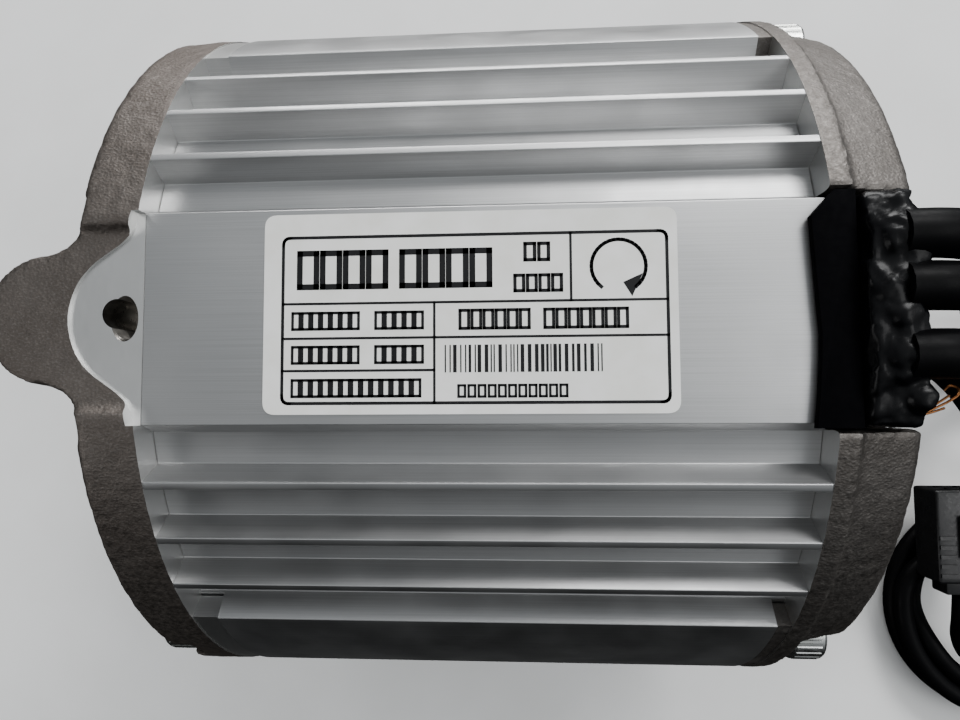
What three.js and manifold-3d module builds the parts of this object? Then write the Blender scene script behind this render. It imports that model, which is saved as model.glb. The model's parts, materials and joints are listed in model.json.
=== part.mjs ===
// Finned brushless motor with a permanent-magnet rotor: an extruded aluminium housing between two cast end
// bells, a 12-slot stator, an 8-pole rotor on two ball bearings, a drive sprocket, and three phase leads and a
// position-sensor lead that leave through a sealed grommet.
//
// Millimetres, +Z up. The motor lies on its flat foot at z = 0 with its shaft along X, the drive end at -X.
// Inside the "motor" group x runs from the front face of the housing and y = z = 0 is the shaft axis.

import * as THREE from "three";
import { mergeVertices } from "three/addons/utils/BufferGeometryUtils.js";
import Module from "manifold-3d";

const wasm = await Module();
wasm.setup();

// ---- driving dimensions ---------------------------------------------------------------------------------

const TIP_R = 56; // outside of the fins and of the end bells
const FLOOR_R = 52.2; // bottom of the troughs between the fins
const BORE_R = 48; // inside of the housing
const PAD_HEIGHT = 53; // flat pads above and below the shaft axis
const PAD_HALF_WIDTH = 12.8;
const HOUSING_LENGTH = 80;
const FIN_ANGLES = [21, 29.1, 37.3, 82.2, 90]; // from the label pad, one quarter of the housing
const FIN_TIP_THICKNESS = 1;
const FIN_ROOT_THICKNESS = 2.3;
const LOBE_ANGLES = [44.9, 75.1]; // solid strip that takes the tie screws
const TIE_ANGLES = [60, 120, 240, 300];
const TIE_R = 51.2;
const FRONT_TONGUE = 3.6; // how far each bell's tongues reach over the ends of the tie-screw lobes
const REAR_TONGUE = 1.9;
const GAP = 0.3; // clearance between neighbouring pieces

const FRONT_RIM = 8; // how far the front bell stands out from the housing
const REAR_RIM = 11; // the same for the rear bell
const LUG_REACH = 20; // nose of the front lug from the housing's front face
const LUG_HALF_WIDTH = 8;
const MOUNT_HOLE_R = 2.5; // M6 tapping size
const MOUNT_HOLE_X = -2.9;

const SHAFT_R = 7.5;
const SHAFT_FRONT = -42;
const SHAFT_REAR = 89;
const REAR_BOSS = 94; // rearmost face of the motor
const BEARING_OUTER_R = 17.5; // 15 x 35 x 11 mm deep-groove bearings
const BEARING_WIDTH = 11;
const FRONT_BEARING_X = -10;
const REAR_BEARING_X = 79;
const BALLS = 8;

const STACK = [19, 61]; // stator laminations along x
const TEETH = 12;
const MAGNETS = 8;
const ROTOR_R = 24.4;
const MAGNET_R = 27.6;

const NOTCH_HALF_WIDTH = 13.6; // cable outlet in the rear bell
const NOTCH_BOTTOM = 42;

const MIDDLE_X = (SHAFT_FRONT + REAR_BOSS) / 2;

// ---- materials ------------------------------------------------------------------------------------------

function finish(color, roughness, metalness) {
  return new THREE.MeshStandardMaterial({ color, roughness, metalness });
}

const EXTRUDED = finish(0xb9bcbe, 0.34, 0.95);
const CAST = finish(0x8f8983, 0.62, 0.85);
const STEEL = finish(0xa9abae, 0.3, 1);
const ZINC = finish(0xc4c6c4, 0.28, 1);
const LAMINATION = finish(0x55585c, 0.55, 0.8);
const COPPER = finish(0xb06a33, 0.35, 1);
const NICKEL = finish(0x9a9a97, 0.3, 1);
const NYLON = finish(0xd9d4c2, 0.6, 0);
const RUBBER = finish(0x141414, 0.75, 0);
const SEALANT = finish(0x0b0b0c, 0.12, 0);
const JACKET = finish(0x151515, 0.4, 0);
const BLACK_PLASTIC = finish(0x161616, 0.45, 0);
const LABEL = finish(0xd6d8da, 0.4, 0.2);
const CIRCUIT = finish(0x1f5a35, 0.5, 0);
const TINNED = finish(0xc9c8c2, 0.3, 1);

// ---- geometry helpers -----------------------------------------------------------------------------------

const radians = THREE.MathUtils.degToRad;

/** The point at a radius and an angle from +Z towards +Y, as [y, z]. */
function polar(radius, degrees) {
  return [radius * Math.sin(radians(degrees)), radius * Math.cos(radians(degrees))];
}

/** A closed geometry with merged corners, no empty triangles, and its faces pointing out. */
function closed(geometry) {
  const bare = geometry.clone();
  bare.deleteAttribute("normal");
  bare.deleteAttribute("uv");
  const merged = mergeVertices(bare, 1e-4);
  const point = (i) => new THREE.Vector3().fromBufferAttribute(merged.attributes.position, i);
  const kept = [];
  let volume = 0;
  for (let i = 0; i < merged.index.count; i += 3) {
    const [a, b, c] = [0, 1, 2].map((k) => merged.index.getX(i + k));
    if (a === b || b === c || c === a) continue;
    kept.push(a, b, c);
    volume += point(a).dot(point(b).cross(point(c)));
  }
  if (volume < 0) kept.reverse();
  merged.setIndex(kept);
  return merged;
}

function solid(geometry) {
  const source = closed(geometry);
  const mesh = new wasm.Mesh({
    numProp: 3,
    vertProperties: new Float32Array(source.attributes.position.array),
    triVerts: new Uint32Array(source.index.array),
  });
  mesh.merge();
  return new wasm.Manifold(mesh);
}

function geometryOf(manifold) {
  const mesh = manifold.getMesh();
  const geometry = new THREE.BufferGeometry();
  geometry.setAttribute("position", new THREE.BufferAttribute(mesh.vertProperties, 3));
  geometry.setIndex(new THREE.BufferAttribute(mesh.triVerts, 1));
  return geometry;
}

function joined(...geometries) {
  return geometryOf(geometries.map(solid).reduce((all, next) => all.add(next)));
}

function cut(body, ...tools) {
  return geometryOf(tools.map(solid).reduce((left, tool) => left.subtract(tool), solid(body)));
}

function common(a, b) {
  return geometryOf(solid(a).intersect(solid(b)));
}

/** Turns a closed profile of [x, radius] points about the shaft axis. */
function turned(profile, sides = 36) {
  const points = profile.map(([x, r]) => new THREE.Vector2(r, x));
  if (profile[0][1] > 0) points.push(points[0].clone());
  return new THREE.LatheGeometry(points, sides).rotateZ(-Math.PI / 2);
}

function ring(x0, x1, inner, outer, sides = 32) {
  return turned([[x0, inner], [x0, outer], [x1, outer], [x1, inner]], sides);
}

/** A cylinder along x whose centre line passes through [y, z]. */
function rod(x0, x1, radius, [y, z] = [0, 0], sides = 16) {
  const geometry = new THREE.CylinderGeometry(radius, radius, x1 - x0, sides);
  return geometry.rotateZ(-Math.PI / 2).translate((x0 + x1) / 2, y, z);
}

function box(low, high) {
  const size = high.map((value, k) => value - low[k]);
  const middle = high.map((value, k) => (value + low[k]) / 2);
  return new THREE.BoxGeometry(...size).translate(...middle);
}

/** A section drawn as [y, z] points, or as a THREE.Shape in y and z, extruded along x. */
function along(section, x0, x1, curveSegments = 18) {
  const shape = section instanceof THREE.Shape ? section : shapeOf(section);
  const geometry = new THREE.ExtrudeGeometry(shape, { depth: x1 - x0, bevelEnabled: false, curveSegments });
  const axes = new THREE.Matrix4().makeBasis(
    new THREE.Vector3(0, 1, 0),
    new THREE.Vector3(0, 0, 1),
    new THREE.Vector3(1, 0, 0),
  );
  return geometry.applyMatrix4(axes).translate(x0, 0, 0);
}

/** A plan drawn as [x, y] points, or as a THREE.Shape in x and y, extruded along z. */
function standing(plan, z0, z1) {
  const shape = plan instanceof THREE.Shape ? plan : shapeOf(plan);
  const options = { depth: z1 - z0, bevelEnabled: false, curveSegments: 6 };
  return new THREE.ExtrudeGeometry(shape, options).translate(0, 0, z0);
}

/** An outline as a THREE.Shape that runs anticlockwise, as its holes need. */
function shapeOf(points) {
  const outline = points.map(([u, v]) => new THREE.Vector2(u, v));
  if (THREE.ShapeUtils.area(outline) < 0) outline.reverse();
  return new THREE.Shape(outline);
}

function circleHole(radius, [u, v] = [0, 0]) {
  return new THREE.Path().absarc(u, v, radius, 0, 2 * Math.PI, true);
}

/** Points of an arc about the shaft axis, in [y, z], both ends included. */
function arc(radius, from, to, steps) {
  return Array.from({ length: steps + 1 }, (_, k) => polar(radius, from + ((to - from) * k) / steps));
}

function turnedAbout(geometry, degrees) {
  return geometry.clone().rotateX(-radians(degrees));
}

// ---- the group ------------------------------------------------------------------------------------------

const group = new THREE.Group();
const motor = new THREE.Group();
motor.position.set(-MIDDLE_X, 0, PAD_HEIGHT);
group.add(motor);

function place(name, geometry, material, parent = motor) {
  const mesh = new THREE.Mesh(closed(geometry), material);
  mesh.name = name;
  parent.add(mesh);
  return mesh;
}

// ---- housing --------------------------------------------------------------------------------------------

/** One quarter of the housing's outline, from the middle of the label pad round to 90 degrees. */
function housingQuarter() {
  const half = (thickness, radius) => THREE.MathUtils.radToDeg(thickness / 2 / radius);
  const tip = half(FIN_TIP_THICKNESS, TIP_R);
  const root = half(FIN_ROOT_THICKNESS, FLOOR_R);
  const fin = (angle) => [
    polar(FLOOR_R, angle - root),
    polar(TIP_R, angle - tip),
    polar(TIP_R, angle + tip),
    polar(FLOOR_R, angle + root),
  ];
  const [lobeStart, lobeEnd] = LOBE_ANGLES;
  const sideFins = FIN_ANGLES.slice(0, 3).flatMap(fin);
  const lobeTop = arc(TIP_R, lobeStart, lobeEnd, 8);
  const lobe = [polar(FLOOR_R, lobeStart - 0.8), ...lobeTop, polar(FLOOR_R, lobeEnd + 0.8)];
  const middleFins = [...fin(FIN_ANGLES[3]), ...fin(FIN_ANGLES[4]).slice(0, 2)];
  return [[PAD_HALF_WIDTH, PAD_HEIGHT], [PAD_HALF_WIDTH + 0.9, 50.3], ...sideFins, ...lobe, ...middleFins];
}

function housing() {
  const quarter = housingQuarter();
  const lower = quarter.map(([y, z]) => [y, -z]).reverse();
  const right = [...quarter, ...lower];
  const left = right.map(([y, z]) => [-y, z]).reverse();
  const section = shapeOf([...right, ...left]);
  section.holes.push(circleHole(BORE_R));
  let body = along(section, 0, HOUSING_LENGTH, 24);
  const pocket = [...arc(52.5, 44, 76, 8), ...arc(58, 76, 44, 8)];
  for (const angle of TIE_ANGLES) {
    const here = angle - 60;
    const front = turnedAbout(along(pocket, -1, FRONT_TONGUE), here);
    const rear = turnedAbout(along(pocket, HOUSING_LENGTH - REAR_TONGUE, HOUSING_LENGTH + 1), here);
    const hole = polar(TIE_R, angle);
    const frontHole = rod(-1, 16, 2.4, hole, 12);
    const rearHole = rod(HOUSING_LENGTH - 16, HOUSING_LENGTH + 1, 2.4, hole, 12);
    body = cut(body, front, rear, frontHole, rearHole);
  }
  return body;
}

place("finned_housing", housing(), EXTRUDED);

// ---- end bells ------------------------------------------------------------------------------------------

/** A tongue of an end bell that carries on the outline of a tie-screw lobe over its stepped end. */
function tongue(x0, x1, angle) {
  return along([...arc(52.7, angle - 15, angle + 15, 8), ...arc(TIP_R, angle + 15, angle - 15, 8)], x0, x1);
}

/** Plan of the front lug: straight sides, a half-round nose and flared roots. */
function lugPlan() {
  const nose = LUG_REACH - LUG_HALF_WIDTH;
  const plan = new THREE.Shape();
  plan.moveTo(-1, -LUG_HALF_WIDTH - 4);
  plan.lineTo(-FRONT_RIM, -LUG_HALF_WIDTH - 4);
  plan.quadraticCurveTo(-FRONT_RIM - 2.6, -LUG_HALF_WIDTH - 0.6, -nose, -LUG_HALF_WIDTH);
  plan.absarc(-nose, 0, LUG_HALF_WIDTH, -Math.PI / 2, Math.PI / 2, true);
  plan.quadraticCurveTo(-FRONT_RIM - 2.6, LUG_HALF_WIDTH + 0.6, -FRONT_RIM, LUG_HALF_WIDTH + 4);
  plan.lineTo(-1, LUG_HALF_WIDTH + 4);
  return plan;
}

/** Plan of the milled half-round seat round the mounting hole, flared where it meets the housing. */
function seatPlan() {
  const plan = new THREE.Shape();
  plan.moveTo(0.5, -PAD_HALF_WIDTH);
  plan.lineTo(-1.2, -PAD_HALF_WIDTH);
  plan.quadraticCurveTo(-1.8, -9.6, -5, -8);
  plan.absarc(0, 0, 9.3, radians(238), radians(122), true);
  plan.quadraticCurveTo(-1.8, 9.6, -1.2, PAD_HALF_WIDTH);
  plan.lineTo(0.5, PAD_HALF_WIDTH);
  return plan;
}

function frontBell() {
  const casting = turned([
    [5, 44.5], [5, 47.7], [0, 47.7], [0, TIP_R], [-7, TIP_R], [-FRONT_RIM, 55], [-FRONT_RIM, 49.5],
    [-5.5, 47.5], [-5.5, 23.5], [-15, 21.5], [-16, 20.5], [-16, 14.3], [-10.3, 14.3], [-10.3, 17.8],
    [1.2, 17.8], [1.2, 18.8], [2.8, 18.8], [2.8, 17.8], [4.5, 17.8], [4.5, 21.5], [-0.5, 23.5], [-0.5, 44.5],
  ]);
  const ribs = [30, 90, 150, 210, 270, 330].map((angle) =>
    turnedAbout(box([-7.6, -2, 21], [-5, 2, 50.4]), angle),
  );
  const lugBarrel = turned([[-LUG_REACH - 1, 0], [-LUG_REACH - 1, TIP_R], [0, TIP_R], [0, 0]]);
  const lug = common(standing(lugPlan(), 30, 60), lugBarrel);
  const tongues = TIE_ANGLES.map((angle) => tongue(-1, FRONT_TONGUE - 0.1, angle));
  const body = joined(casting, lug, ...ribs, ...tongues);
  const hole = (z0, z1) => new THREE.CylinderGeometry(MOUNT_HOLE_R, MOUNT_HOLE_R, z1 - z0, 20)
    .rotateX(Math.PI / 2)
    .translate(MOUNT_HOLE_X, 0, (z0 + z1) / 2);
  const screwPockets = TIE_ANGLES.flatMap((angle) => [
    rod(-12, -4.5, 6, polar(TIE_R, angle)),
    rod(-6, 5, 2.8, polar(TIE_R, angle), 12),
  ]);
  return cut(
    body,
    box([-30, -11, PAD_HEIGHT + 0.5], [1, 11, 70]),
    standing(seatPlan(), PAD_HEIGHT, 60),
    box([-30, -40, -70], [6, 40, -PAD_HEIGHT]),
    hole(44.8, 60),
    hole(-60, -44.8),
    ...screwPockets,
  );
}

function rearBell() {
  const x = (out) => HOUSING_LENGTH + out;
  const casting = turned([
    [REAR_BOSS, 0], [REAR_BOSS, 21], [x(REAR_RIM), 23.5], [x(REAR_RIM), 52.2], [x(REAR_RIM) - 1, 53.3],
    [x(2.7), 54.8], [x(2.7), TIP_R], [x(0), TIP_R], [x(0), 47.7], [x(-5), 47.7], [x(-5), 44.5],
    [x(6), 44.5], [x(6), 25], [x(2.5), 23.5], [x(-3), 21.5], [x(-3), 17.8],
    [x(REAR_RIM) + 0.6, 17.8], [x(REAR_RIM) + 0.6, 0],
  ]);
  const tongues = TIE_ANGLES.map((angle) => tongue(x(0.1 - REAR_TONGUE), x(1), angle));
  const screwPockets = TIE_ANGLES.flatMap((angle) => [
    rod(x(3.7), x(20), 6, polar(TIE_R, angle)),
    rod(x(-5), x(5), 2.8, polar(TIE_R, angle), 12),
  ]);
  const footHole = new THREE.CylinderGeometry(MOUNT_HOLE_R, MOUNT_HOLE_R, 12, 20)
    .rotateX(Math.PI / 2)
    .translate(x(4), 0, -PAD_HEIGHT + 1.2);
  return cut(
    joined(casting, ...tongues),
    box([x(-6), -NOTCH_HALF_WIDTH, NOTCH_BOTTOM], [x(REAR_RIM + 1), NOTCH_HALF_WIDTH, 70]),
    box([x(-6), -40, -70], [x(REAR_RIM + 1), 40, -PAD_HEIGHT]),
    footHole,
    ...screwPockets,
  );
}

place("front_end_bell", frontBell(), CAST);
place("rear_end_bell", rearBell(), CAST);

// ---- tie screws -----------------------------------------------------------------------------------------

/** An M5 socket-head screw, its head's seat at x = 0 and its shank towards +x. */
function tieScrew() {
  const body = joined(rod(-1, 17, 2.1, [0, 0], 10), rod(-5, 0, 4.25));
  const socket = new THREE.CylinderGeometry(2.3, 2.3, 3, 6).rotateZ(-Math.PI / 2).translate(-4, 0, 0);
  return cut(body, socket);
}

const screwGeometry = tieScrew();
TIE_ANGLES.forEach((angle, k) => {
  const [y, z] = polar(TIE_R, angle);
  const front = place(`front_tie_screw_${k + 1}`, screwGeometry, ZINC);
  front.position.set(-4.5 - GAP, y, z);
  const rear = place(`rear_tie_screw_${k + 1}`, screwGeometry, ZINC);
  rear.position.set(HOUSING_LENGTH + 3.7 + GAP, y, z);
  rear.rotation.y = Math.PI;
});

// ---- stator ---------------------------------------------------------------------------------------------

/** A ring with inward teeth, as a section in y and z. */
function toothedRing(outer, slot, halfTooth, shoe) {
  const half = (radius) => THREE.MathUtils.radToDeg(Math.asin(halfTooth / radius));
  const inner = [];
  for (let k = 0; k < TEETH; k += 1) {
    const angle = (360 / TEETH) * k;
    const side = [
      [slot, half(slot)],
      [shoe + 2.4, half(shoe + 2.4)],
      [shoe + 1.8, 12.4],
      [shoe, 12.6],
      [shoe, 6.3],
    ];
    inner.push(...side.map(([r, offset]) => polar(r, angle - offset)), polar(shoe, angle));
    inner.push(...side.reverse().map(([r, offset]) => polar(r, angle + offset)), polar(slot, angle + 15));
  }
  const section = new THREE.Shape().absarc(0, 0, outer, 0, 2 * Math.PI, false);
  section.holes.push(new THREE.Path(inner.map(([y, z]) => new THREE.Vector2(y, z))));
  return section;
}

/** One coil on the tooth that points along +z: a tapered block with a window for the tooth. */
function coil() {
  const outline = [[-8, 31.6], [8, 31.6], [9.5, 38.2], [-9.5, 38.2]];
  return cut(along(outline, 12, 68), box([17.6, -5.7, 25], [62.4, 5.7, 45]));
}

/** The coils of one phase and the ring that joins them. */
function phaseWinding(phase) {
  const ringR = 33 + 2.4 * phase;
  const parts = [ring(69.6, 71.2, ringR - 0.8, ringR + 0.8)];
  for (let k = phase; k < TEETH; k += 3) {
    const angle = (360 / TEETH) * k;
    parts.push(turnedAbout(coil(), angle));
    parts.push(turnedAbout(box([67.5, -0.8, ringR - 0.7], [70.2, 0.8, ringR + 0.7]), angle));
  }
  return joined(...parts);
}

place("stator_core", along(toothedRing(47.7, 40, 4.75, 28.4), ...STACK, 24), LAMINATION);
const insulatorRing = toothedRing(46.5, 40.4, 5.2, 28.8);
place("front_slot_insulator", along(insulatorRing, STACK[0] - 1.1, STACK[0] - GAP, 12), NYLON);
place("rear_slot_insulator", along(insulatorRing, STACK[1] + GAP, STACK[1] + 1.1, 12), NYLON);
["u", "v", "w"].forEach((letter, phase) => place(`phase_winding_${letter}`, phaseWinding(phase), COPPER));

// ---- position sensors -----------------------------------------------------------------------------------

place("hall_sensor_board", ring(73, 74.6, 24, 42), CIRCUIT);

/** A three-legged sensor that faces the end of the magnets. */
function hallSensor() {
  const body = box([62.2, -2, 25], [65.6, 2, 26.6]);
  const legs = [-1.2, 0, 1.2].map((y) => box([65.2, y - 0.25, 25.5], [72.7, y + 0.25, 26]));
  return joined(body, ...legs);
}

[-30, 0, 30].forEach((angle, k) => {
  place(`hall_sensor_${k + 1}`, turnedAbout(hallSensor(), angle), BLACK_PLASTIC);
});

// ---- rotor ----------------------------------------------------------------------------------------------

const rotor = new THREE.Group();
motor.add(rotor);

function shaft() {
  const body = turned([
    [SHAFT_FRONT, 0], [SHAFT_FRONT, 3.4], [SHAFT_FRONT + 0.6, 4], [-33.5, 4], [-33.5, 6], [-26.2, 6],
    [-26.2, SHAFT_R], [14, SHAFT_R], [14, 9.2], [66, 9.2], [66, SHAFT_R], [SHAFT_REAR - 0.6, SHAFT_R],
    [SHAFT_REAR, 6.9], [SHAFT_REAR, 0],
  ], 24);
  return cut(body, box([-33.2, -1.5, 4.2], [-26.4, 1.5, 8]));
}

/** Drive sprocket: eight teeth with round gaps for the chain rollers. */
function sprocket() {
  const section = new THREE.Shape();
  const teeth = 8;
  for (let k = 0; k < teeth; k += 1) {
    const step = 360 / teeth;
    const corners = [[13, k * step - 4], [13, k * step + 4], [10.6, k * step + 10], [8.9, k * step + 17]];
    corners.push([8.9, k * step + 28], [10.6, k * step + 35]);
    corners.forEach(([r, angle], i) => {
      const [y, z] = polar(r, angle);
      if (k === 0 && i === 0) section.moveTo(y, z);
      else section.lineTo(y, z);
    });
  }
  const wheel = along(section, -32, -27.2);
  const body = joined(wheel, rod(-33.2, -26.6, 8.6, [0, 0], 24));
  return cut(body, rod(-40, -20, 6.3, [0, 0], 24), box([-40, -1.5, 0], [-20, 1.5, 7.6]));
}

function nut() {
  const hexagon = new THREE.CylinderGeometry(7.5, 7.5, 5, 6).rotateZ(-Math.PI / 2).translate(-37.8, 0, 0);
  return cut(hexagon, rod(-45, -30, 4.3));
}

place("rotor_shaft", shaft(), STEEL, rotor);
place("sprocket_key", box([-32.8, -1.2, 4.5], [-26.8, 1.2, 7.3]), STEEL, rotor);
place("drive_sprocket", sprocket(), STEEL, rotor);
place("sprocket_washer", ring(-35, -33.8, 4.3, 8.4, 20), ZINC, rotor);
place("sprocket_nut", nut(), ZINC, rotor);

function rotorCore() {
  const section = new THREE.Shape().absarc(0, 0, ROTOR_R, 0, 2 * Math.PI, false);
  section.holes.push(circleHole(9.5));
  for (let k = 0; k < 6; k += 1) section.holes.push(circleHole(3.4, polar(17, 60 * k)));
  return along(section, 20, 60, 8);
}

place("rotor_core", rotorCore(), LAMINATION, rotor);

const magnetSection = [...arc(ROTOR_R + GAP, -20, 20, 8), ...arc(MAGNET_R, 20, -20, 8)];
for (let k = 0; k < MAGNETS; k += 1) {
  const magnet = turnedAbout(along(magnetSection, 20, 60), (360 / MAGNETS) * k);
  place(`rotor_magnet_${k + 1}`, magnet, NICKEL, rotor);
}

// ---- bearings -------------------------------------------------------------------------------------------

const BALL_PITCH_R = 12.65;
const BALL_R = 2.8;

/** A race between two radii, with a round groove for the balls on its inner or outer side. */
function race(inner, outer, grooveSide) {
  const edge = grooveSide === "inner" ? inner : outer;
  const middle = BEARING_WIDTH / 2;
  const grooveR = BALL_R + 0.4;
  const reach = Math.acos(Math.abs(edge - BALL_PITCH_R) / grooveR);
  const sign = Math.sign(edge - BALL_PITCH_R);
  const groove = [];
  for (let k = 0; k <= 4; k += 1) {
    const angle = -reach + (2 * reach * k) / 4;
    groove.push([middle + grooveR * Math.sin(angle), BALL_PITCH_R + sign * grooveR * Math.cos(angle)]);
  }
  if (grooveSide === "inner") {
    return turned([[0, inner], ...groove, [BEARING_WIDTH, inner], [BEARING_WIDTH, outer], [0, outer]], 32);
  }
  return turned([[0, outer], ...groove, [BEARING_WIDTH, outer], [BEARING_WIDTH, inner], [0, inner]], 32);
}

function ballCage() {
  const middle = BEARING_WIDTH / 2;
  const parts = [ring(middle - 1.1, middle + 1.1, BALL_PITCH_R - 0.6, BALL_PITCH_R + 0.6, BALLS)];
  for (let k = 0; k < BALLS; k += 1) {
    const [y, z] = polar(BALL_PITCH_R, (360 / BALLS) * k);
    parts.push(new THREE.SphereGeometry(BALL_R, 8, 4).translate(middle, y, z));
  }
  return joined(...parts);
}

for (const [side, x] of [["front", FRONT_BEARING_X], ["rear", REAR_BEARING_X]]) {
  place(`${side}_bearing_outer_race`, race(14.9, BEARING_OUTER_R, "inner"), STEEL).position.x = x;
  place(`${side}_bearing_inner_race`, race(SHAFT_R + GAP, 10.4, "outer"), STEEL, rotor).position.x = x;
  place(`${side}_bearing_ball_cage`, ballCage(), STEEL).position.x = x;
}

/** A spring washer with three waves that loads the rear bearing. */
function waveWasher() {
  const washer = closed(ring(90.55, 90.95, 14.5, 17.3, 36));
  const points = washer.attributes.position;
  for (let i = 0; i < points.count; i += 1) {
    const angle = Math.atan2(points.getY(i), points.getZ(i));
    points.setX(i, points.getX(i) + 0.2 * Math.sin(3 * angle));
  }
  return washer;
}

place("bearing_wave_washer", waveWasher(), STEEL);
place("bearing_circlip", cut(ring(1.5, 2.5, 15.6, 18.4), box([0, -3, 10], [5, 3, 20])), STEEL);
place("shaft_oil_seal", ring(-15.7, -11.6, SHAFT_R + GAP, 14), RUBBER);

// ---- label, grommet and sealant -------------------------------------------------------------------------

function labelPlan() {
  const [x0, x1, y0, y1, r] = [14.9, 63.2, -11.6, 12.1, 1.5];
  const plan = new THREE.Shape();
  plan.moveTo(x0 + r, y0);
  plan.lineTo(x1 - r, y0);
  plan.absarc(x1 - r, y0 + r, r, -Math.PI / 2, 0, false);
  plan.absarc(x1 - r, y1 - r, r, 0, Math.PI / 2, false);
  plan.absarc(x0 + r, y1 - r, r, Math.PI / 2, Math.PI, false);
  plan.absarc(x0 + r, y0 + r, r, Math.PI, 1.5 * Math.PI, false);
  return plan;
}

place("rating_label", standing(labelPlan(), PAD_HEIGHT + 0.05, PAD_HEIGHT + 0.25), LABEL);

const GROMMET_HALF = NOTCH_HALF_WIDTH - GAP;

function grommet() {
  const plug = box([80.3, -GROMMET_HALF, NOTCH_BOTTOM + 1], [82.6, GROMMET_HALF, PAD_HEIGHT + 1.4]);
  const lip = box([77.6, -GROMMET_HALF, PAD_HEIGHT + GAP], [82, GROMMET_HALF, PAD_HEIGHT + 1.4]);
  return joined(plug, lip);
}

/** Cross-section in x and z of the silicone that fills the outlet round the leads. */
function sealantSection() {
  return [
    [82.9, 42.6], [88.4, 42.6], [89.2, 44.5], [89.4, 48], [89.4, 55], [88.4, 57.6], [86.2, 58.6], [83.8, 57.4],
    [82.9, 54.8],
  ];
}

function sealant() {
  const shape = shapeOf(sealantSection());
  const width = 2 * GROMMET_HALF;
  const geometry = new THREE.ExtrudeGeometry(shape, { depth: width, bevelEnabled: false });
  return geometry.rotateX(Math.PI / 2).translate(0, GROMMET_HALF, 0);
}

place("cable_grommet", grommet(), RUBBER);
place("cable_sealant", sealant(), SEALANT);

// ---- leads ----------------------------------------------------------------------------------------------

// Routes are in the object's own frame, x from its middle and z from the surface that it stands on.
const PHASE_LEAD_D = 5.5;
const LANDING_X = 154; // where the phase leads start to turn on the surface
const TURN_Y = 38; // centre of that turn
const PHASE_LEADS = [
  { y: 7.8, landingY: 11, straight: 64 },
  { y: 2.1, landingY: 2, straight: 50 },
  { y: -5.3, landingY: -7, straight: 36 },
];
// x, share of the way from y to landingY, and z of the stretch from the sealant down to the surface.
const PHASE_DROP = [
  [64.3, 0, 108.6], [68, 0, 107.6], [74, 0.05, 102.6], [80, 0.12, 96.4], [86, 0.2, 89], [92, 0.3, 80.4],
  [98, 0.42, 70.8], [104, 0.54, 60.4], [110, 0.66, 49.6], [116, 0.76, 38.8], [122, 0.85, 28.4],
  [128.5, 0.92, 18.6], [136, 0.97, 10.2], [145, 1, 4.8],
];

function phaseRoute({ y, landingY, straight }) {
  const route = PHASE_DROP.map(([x, share, z]) => [x, y + (landingY - y) * share, z]);
  const turnR = TURN_Y - landingY;
  for (let k = 0; k <= 6; k += 1) {
    const angle = (Math.PI / 2) * (k / 6);
    route.push([LANDING_X + turnR * Math.sin(angle), TURN_Y - turnR * Math.cos(angle), 3.1]);
  }
  route.push([LANDING_X + turnR, TURN_Y + straight / 2, 3.1], [LANDING_X + turnR, TURN_Y + straight, 3.1]);
  return route;
}

/** A lead as a tube of a many-sided section that follows a smooth curve through its points. */
function lead(route, diameter, sides, steps) {
  const points = route.map((point) => new THREE.Vector3(...point));
  const curve = new THREE.CatmullRomCurve3(points, false, "centripetal");
  const corners = Array.from({ length: sides }, (_, k) => {
    const angle = (2 * Math.PI * k) / sides;
    return [(diameter / 2) * Math.cos(angle), (diameter / 2) * Math.sin(angle)];
  });
  return new THREE.ExtrudeGeometry(shapeOf(corners), { steps, extrudePath: curve, bevelEnabled: false });
}

/** An insulated bullet connector on the end of a phase lead, pointing along +y. */
function bullet() {
  const sleeve = new THREE.CylinderGeometry(3, 3, 15, 16).translate(0, 7.5, 0);
  const tip = new THREE.CylinderGeometry(1.6, 2, 8, 12).translate(0, 18, 0);
  return joined(sleeve, tip);
}

PHASE_LEADS.forEach((row, k) => {
  const route = phaseRoute(row);
  place(`phase_lead_${k + 1}`, lead(route, PHASE_LEAD_D, 8, 24), JACKET, group);
  const [x, y, z] = route[route.length - 1];
  place(`phase_bullet_${k + 1}`, bullet(), TINNED, group).position.set(x, y + GAP, z);
});

const SENSOR_LEAD_D = 4.5;
const COIL_CENTRE = [140, -63];
const COIL_INNER_R = 18;
const COIL_OUTER_R = 27;
const COIL_HEIGHT = 9;
const SENSOR_DROP = [
  [64.3, -5, 99.4], [70, -5.4, 97.6], [76, -7.6, 92.8], [83, -11, 85.6], [90, -14, 77], [97, -16.2, 67.6],
  [104, -18, 57.8], [111, -19.6, 47.6], [118, -21.2, 37.6], [125.5, -23, 27.6], [133.5, -25.2, 18.6],
  [142, -28, 11], [150, -31.4, 5.8], [156.4, -35.4, 3.3], [160.6, -40, 2.7], [162.4, -44, 2.6],
];
const SENSOR_TAIL = [
  [135.8, -77, 7], [130.8, -74.4, 7.6], [127.4, -69.6, 9.6], [125.8, -63.8, 12.8], [125.5, -58, 14],
];

function coiledLead() {
  const [inner, outer, height] = [COIL_INNER_R, COIL_OUTER_R, COIL_HEIGHT];
  const profile = [[inner, 1.2], [inner + 1.2, 0.2], [outer - 1.2, 0.2], [outer, 1.2], [outer, height - 1.2]];
  profile.push([outer - 1.2, height], [inner + 1.2, height], [inner, height - 1.2], [inner, 1.2]);
  const geometry = new THREE.LatheGeometry(profile.map(([r, z]) => new THREE.Vector2(r, z)), 32);
  return geometry.rotateX(Math.PI / 2).translate(...COIL_CENTRE, 0);
}

/** A rectangular six-way plug that lies on the coil. */
function sensorPlug() {
  const body = box([117.5, -54, 9.3], [133.5, -32, 18.6]);
  const collar = box([120, -57, 11], [131, -53.5, 17]);
  const latch = box([122.5, -48, 18.4], [128.5, -38, 20]);
  return joined(body, collar, latch);
}

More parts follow.
